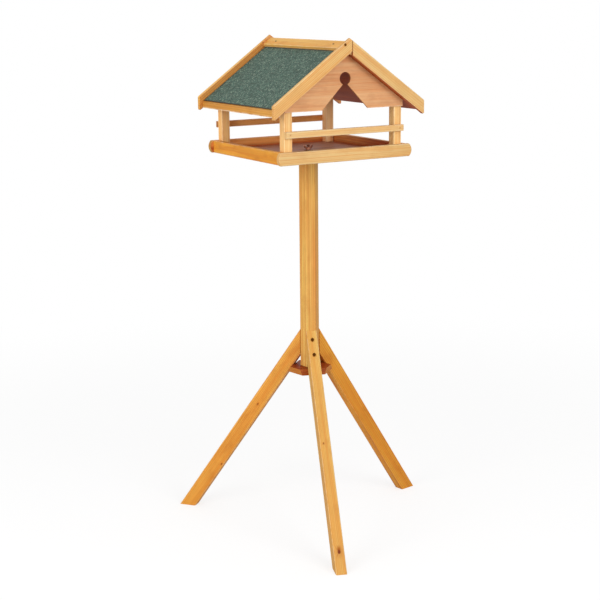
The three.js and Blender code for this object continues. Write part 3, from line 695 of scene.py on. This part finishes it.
def makeFelt(side, seed, step, swell, swellSize, fray, fraySize, gap, gapSize, thickness):
    node = f"roof_felt_{side}"
    turn = ridgeTurns[side]
    middle, half = inFrame(turn, [v.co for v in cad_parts[node].data.vertices])
    downhill = 1 if side == "left" else -1
    bm = bmesh.new()
    columns, rows = (round(2 * reach / step) for reach in (half.x, half.y))
    bmesh.ops.create_grid(bm, x_segments=columns, y_segments=rows, size=1)
    for vert in bm.verts:
        x, y = vert.co.x * half.x, vert.co.y * half.y
        rise = swell * (0.5 + 0.5 * noise.noise(Vector((x, y, seed)) / swellSize))
        if vert.co.y * downhill > 0.999:  # the lower edge
            y -= downhill * fray * (0.5 + 0.5 * noise.noise(Vector((x / fraySize, seed, 0))))
        x -= vert.co.x * gap * (0.6 + 0.4 * noise.noise(Vector((y / gapSize, seed, 5))))
        vert.co = middle + turn @ Vector((x, y, half.z - rise))
    for face in bm.faces:
        face.smooth = True
    piece = newPiece(bm, node + "_sheet")
    shell = piece.modifiers.new("thickness", "SOLIDIFY")
    shell.thickness = thickness
    shell.offset = -1
    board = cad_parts[f"ridge_board_{side}"].data
    boardMiddle, boardHalf = inFrame(turn, [v.co for v in board.vertices])
    ridgeLine = downhill * (turn.inverted() @ (boardMiddle - middle)).y + boardHalf.y
    piece.data.materials.append(
        feltMaterial(f"mineralFelt_{side}", turn, middle, half, ridgeLine, downhill, feltLook)
    )
    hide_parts(node)


for seed, side in enumerate(("left", "right"), start=3):
    makeFelt(side, seed, **feltSettings)
print("felt laid")


# Fasteners: each is built with the top of its head at 0 and Z out of the wood.
def fastenerTurn(out):
    return frameAlong((1, 0, 0) if abs(out[2]) > 0.9 else (0, 0, 1), out)


def placeFastener(bm, node, out, material, body="table"):
    bmesh.ops.recalc_face_normals(bm, faces=bm.faces)
    smoothed(bm)
    turn = fastenerTurn(out)
    middle, half = inFrame(turn, [v.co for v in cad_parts[node].data.vertices])
    top = middle + turn @ Vector((0, 0, half.z))
    for vert in bm.verts:
        vert.co = top + turn @ vert.co
    piece = newPiece(bm, node + "_turned", body)
    piece.data.materials.append(materials[material])
    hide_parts(node)


def fastenerSize(node, out):
    half = inFrame(fastenerTurn(out), [v.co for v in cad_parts[node].data.vertices])[1]
    return max(half.x, half.y), 2 * half.z


# A countersunk screw with a cross recess, in shares of the head's radius
screwSettings = {
    "sides": 32, "face": 0.96, "rimDepth": 0.05, "cone": 0.62, "shank": 0.5,
    "arm": 0.6, "tip": 0.12, "root": 0.2, "deep": 0.4, "narrowing": 0.45,
}


def makeScrew(node, out, twist, sides, face, rimDepth, cone, shank, arm, tip, root, deep, narrowing):
    radius, length = fastenerSize(node, out)
    bm = bmesh.new()
    spun(
        bm,
        [
            (face * radius, 0), (radius, -rimDepth * radius), (shank * radius, -cone * radius),
            (shank * radius, shank * radius - length), (0, -length),
        ],
        sides,
    )
    rim = [edge for edge in bm.edges if edge.is_boundary]
    cross = []
    for quarter in range(4):
        spot = Matrix.Rotation(quarter * pi / 2 + twist, 3, "Z")
        for x, y in ((arm, -tip), (arm, tip), (root, root)):
            cross.append(bm.verts.new(spot @ Vector((x, y, 0)) * radius))
    recess = [bm.edges.new(pair) for pair in zip(cross, cross[1:] + cross[:1])]
    bmesh.ops.triangle_fill(bm, use_beauty=True, edges=rim + recess, normal=(0, 0, 1))
    walls = bmesh.ops.extrude_edge_only(bm, edges=recess)["geom"]
    for vert in walls:
        if isinstance(vert, bmesh.types.BMVert):
            vert.co = Vector((vert.co.x * narrowing, vert.co.y * narrowing, -deep * radius))
    bottom = [edge for edge in walls if isinstance(edge, bmesh.types.BMEdge) and edge.is_boundary]
    bmesh.ops.edgeloop_fill(bm, edges=bottom)
    placeFastener(bm, node, out, "screw")


# A nail with a slightly domed head, in shares of the head's radius
nailSettings = {
    "sides": 24, "shank": 0.53,
    "head": ((0, 0.16), (0.5, 0.12), (0.85, 0), (1, -0.1), (1, -0.5), (0.53, -0.55)),
}


def makeNail(node, out, material, sides, shank, head):
    radius, length = fastenerSize(node, out)
    bm = bmesh.new()
    profile = [(x * radius, z * radius) for x, z in head]
    spun(bm, profile + [(shank * radius, shank * radius - length), (0, -length)], sides)
    placeFastener(bm, node, out, material)


ways = {"front": (0, -1, 0), "rear": (0, 1, 0), "down": (0, 0, -1)}
screws = {"spreader_screw": ways["down"]}
for leg, heading in headings.items():
    for i in (1, 2):
        screws[f"{leg}_screw_{i}"] = (cos(heading), sin(heading), 0)
for end in ("front", "rear"):
    screws[f"barge_screw_{end}"] = ways[end]
    for side, sign in (("left", -1), ("right", 1)):
        screws[f"post_screw_{end}_{side}"] = ways["down"]
        makeNail(f"rail_nail_{end}_{side}", ways[end], "stainedNail", **nailSettings)
        makeNail(f"ridge_nail_{end}_{side}", (sign * sin(pitch), 0, cos(pitch)), "nail", **nailSettings)
screwTwist = 0.7  # from one screw's recess to the next, in radians
for i, (node, out) in enumerate(screws.items()):
    makeScrew(node, out, i * screwTwist, **screwSettings)
print("screws and nails driven")

# Fixing in the middle of the tray

boltSettings = {
    "crest": 3.0 * mm, "root": 2.55 * mm, "core": 2.601 * mm, "tip": 2.04 * mm, "chamfer": 0.5 * mm,
    "threadPitch": 1.0 * mm, "turns": 11, "sides": 32,
}


# A bolt with a rolled thread on the length that stands above the floor
def makeBolt(crest, root, core, tip, chamfer, threadPitch, turns, sides):
    low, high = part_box("hanger_bolt")
    length = high.z - low.z
    bm = bmesh.new()
    foot = -(turns + 1) * threadPitch
    tooth = [
        bm.verts.new((radius, 0, foot + share * threadPitch))
        for radius, share in ((root, 0), (crest, 0.5), (root, 1))
    ]
    edges = [bm.edges.new(pair) for pair in zip(tooth, tooth[1:])]
    bmesh.ops.spin(
        bm, geom=tooth + edges, axis=(0, 0, 1), dvec=(0, 0, threadPitch / sides), angle=2 * pi * turns,
        steps=sides * turns,
    )
    bmesh.ops.remove_doubles(bm, verts=bm.verts, dist=2 * hair)
    spun(
        bm,
        [(0, 0), (tip, 0), (core, -chamfer), (core, foot), (crest, foot), (crest, -length), (0, -length)],
        sides,
    )
    placeFastener(bm, "hanger_bolt", (0, 0, 1), "zinc")


washerSettings = {"bore": 3.3 * mm, "soft": 0.3 * mm, "sides": 64}


def makeWasher(bore, soft, sides):
    radius, thickness = fastenerSize("tray_washer", (0, 0, 1))
    bm = bmesh.new()
    spun(
        bm,
        [
            (bore, -soft), (bore + soft, 0), (radius - soft, 0), (radius, -soft), (radius, soft - thickness),
            (radius - soft, -thickness), (bore, -thickness), (bore, -soft),
        ],
        sides,
    )
    placeFastener(bm, "tray_washer", (0, 0, 1), "zinc")


# hub is the outside of the hub, from its foot to its crown. half and rise are the reach of an ear.
# ear is its outline in shares of them: a start, then curves with two handles and an end.
nutSettings = {
    "bore": 3.15 * mm, "chamfer": 0.4 * mm, "sides": 48,
    "hub": ((5.1 * mm, 0), (5.4 * mm, 0.3 * mm), (4.4 * mm, 5.3 * mm), (3.95 * mm, 6.0 * mm)),
    "half": 11.5 * mm, "rise": 12.0 * mm, "thick": 2.2 * mm, "rootShare": 1.25, "taper": 0.5,
    "soft": 0.9 * mm,
    "ear": (
        (0.31, 0.1),
        (0.5, 0.12, 1, 0.35, 1, 0.7),
        (1, 0.95, 0.84, 1, 0.68, 0.86),
        (0.6, 0.7, 0.5, 0.56, 0.31, 0.46),
    ),
}


def earOutline(half, rise, ear, steps=10):
    points = [Vector((ear[0][0] * half, ear[0][1] * rise))]
    for curve in ear[1:]:
        a = points[-1]
        b, c, d = (Vector((curve[i] * half, curve[i + 1] * rise)) for i in (0, 2, 4))
        for i in range(1, steps + 1):
            t = i / steps
            start = (1 - t) ** 3 * a + 3 * (1 - t) ** 2 * t * b
            points.append(start + 3 * (1 - t) * t ** 2 * c + t ** 3 * d)
    return points


# The wing nut: a spun hub, and two ears that thin outwards
def makeWingNut(bore, chamfer, sides, hub, half, rise, thick, rootShare, taper, soft, ear):
    low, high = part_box("wing_nut")
    height = high.z - low.z
    bm = bmesh.new()
    points = earOutline(half, rise, ear)
    for side in (-1, 1):
        outline = [bm.verts.new((side * point.x, -thick / 2, point.y - height)) for point in points]
        face = bm.faces.new(outline)
        grown = bmesh.ops.extrude_face_region(bm, geom=[face])["geom"]
        far = [v for v in grown if isinstance(v, bmesh.types.BMVert)]
        for vert in far:
            vert.co.y = thick / 2
        both = far + outline
        for vert in both:
            vert.co.y *= rootShare - taper * abs(vert.co.x) / half
        rims = [
            edge for edge in bm.edges
            if all(vert in both for vert in edge.verts)
            and abs(edge.verts[0].co.y - edge.verts[1].co.y) < thick / 2
        ]
        bmesh.ops.bevel(bm, geom=rims, offset=soft, segments=3, profile=0.5, affect="EDGES", material=-1)
    crown = hub[-1][1]
    inside = [(bore + chamfer, crown), (bore, crown - chamfer), (bore, chamfer), (bore + chamfer, 0)]
    profile = [(bore + chamfer, 0), *hub, *inside]
    spun(bm, [(radius, rising - height) for radius, rising in profile], sides)
    placeFastener(bm, "wing_nut", (0, 0, 1), "zinc", "nut")


makeBolt(**boltSettings)
makeWasher(**washerSettings)
makeWingNut(**nutSettings)
print("tray fixing made")

# Camera, floor and lights

cameraSettings = {
    "azimuth": radians(-31.228), "drop": radians(12.721), "distance": 3.0063, "height": 1.2032,
    "aimLeft": radians(0.4077), "roll": radians(-0.518), "lens": 81.641,
}


def makeCamera(azimuth, drop, distance, height, aimLeft, roll, lens):
    camera = bpy.data.objects.new("camera", bpy.data.cameras.new("camera"))
    camera.data.lens = lens
    camera.location = poleAxis + Vector((distance * sin(azimuth), -distance * cos(azimuth), height))
    level = Euler((pi / 2 - drop, 0, azimuth + aimLeft)).to_matrix()
    camera.rotation_euler = (level @ Matrix.Rotation(roll, 3, "Z")).to_euler()
    scene.collection.objects.link(camera)
    scene.camera = camera


makeCamera(**cameraSettings)

# The floor and the world are white to the camera, and a plain grey to the light that falls on the table.
stageSettings = {
    "floorHalf": 40.0, "nearRadius": 0.7, "farRadius": 2.2, "floorGrey": (0.58, 0.58, 0.58, 1),
    "seenGrey": (0.3, 0.3, 0.3, 1), "floorGlow": 0.72, "worldGrey": (0.66, 0.66, 0.66, 1),
    "horizon": (1.0, 1.0, 1.0, 1), "black": (0, 0, 0, 1),
}


def makeStage(floorHalf, nearRadius, farRadius, floorGrey, seenGrey, floorGlow, worldGrey, horizon, black):
    bm = bmesh.new()
    bmesh.ops.create_grid(bm, x_segments=1, y_segments=1, size=floorHalf)
    mesh = bpy.data.meshes.new("floor")
    bm.to_mesh(mesh)
    bm.free()
    floor = bpy.data.objects.new("floor", mesh)
    scene.collection.objects.link(floor)
    material, b, shader = newMaterial("paleFloor")
    seen = b.add("ShaderNodeLightPath").outputs["Is Camera Ray"]
    place = b.add("ShaderNodeTexCoord").outputs["Object"]
    b.put(shader.inputs["Base Color"], b.mix(seen, floorGrey, seenGrey))
    b.put(shader.inputs["Emission Color"], b.mix(seen, black, horizon))
    shader.inputs["Emission Strength"].default_value = floorGlow
    shader.inputs["Roughness"].default_value = 0.9
    shader.inputs["Specular IOR Level"].default_value = 0
    glow = b.add("ShaderNodeEmission")
    b.put(glow.inputs["Color"], horizon)
    far = b.step(b.vector("LENGTH", place), nearRadius, farRadius)
    blend = b.add("ShaderNodeMixShader")
    b.put(blend.inputs[0], b.maths("MULTIPLY", far, seen))
    b.put(blend.inputs[1], shader.outputs[0])
    b.put(blend.inputs[2], glow.outputs[0])
    output = material.node_tree.nodes["Material Output"]
    b.put(output.inputs["Surface"], blend.outputs[0])
    mesh.materials.append(material)

    world = bpy.data.worlds.new("studio")
    scene.world = world
    world.use_nodes = True
    b = Bench(world.node_tree)
    path = b.add("ShaderNodeLightPath").outputs
    direct = b.maths("MAXIMUM", path["Is Camera Ray"], path["Is Glossy Ray"])
    direct = b.maths("MAXIMUM", direct, path["Is Transmission Ray"])
    background = world.node_tree.nodes["Background"]
    b.put(background.inputs["Color"], b.mix(direct, worldGrey, horizon))


makeStage(**stageSettings)

lights = {
    "key": {"at": (0.4, -3.0, 1.9), "size": 1.8, "power": 41.0},
    "fill": {"at": (-2.8, -0.9, 1.2), "size": 1.8, "power": 37.0},
}
aim = Vector((0, 0, 0.75))  # the lights look here
for name, settings in lights.items():
    lamp = bpy.data.lights.new(name, "AREA")
    lamp.size = settings["size"]
    lamp.energy = settings["power"]
    light = bpy.data.objects.new(name, lamp)
    light.location = settings["at"]
    light.rotation_euler = (aim - light.location).to_track_quat("-Z", "Y").to_euler()
    scene.collection.objects.link(light)

scene.view_settings.view_transform = "Standard"

print("scene ready")
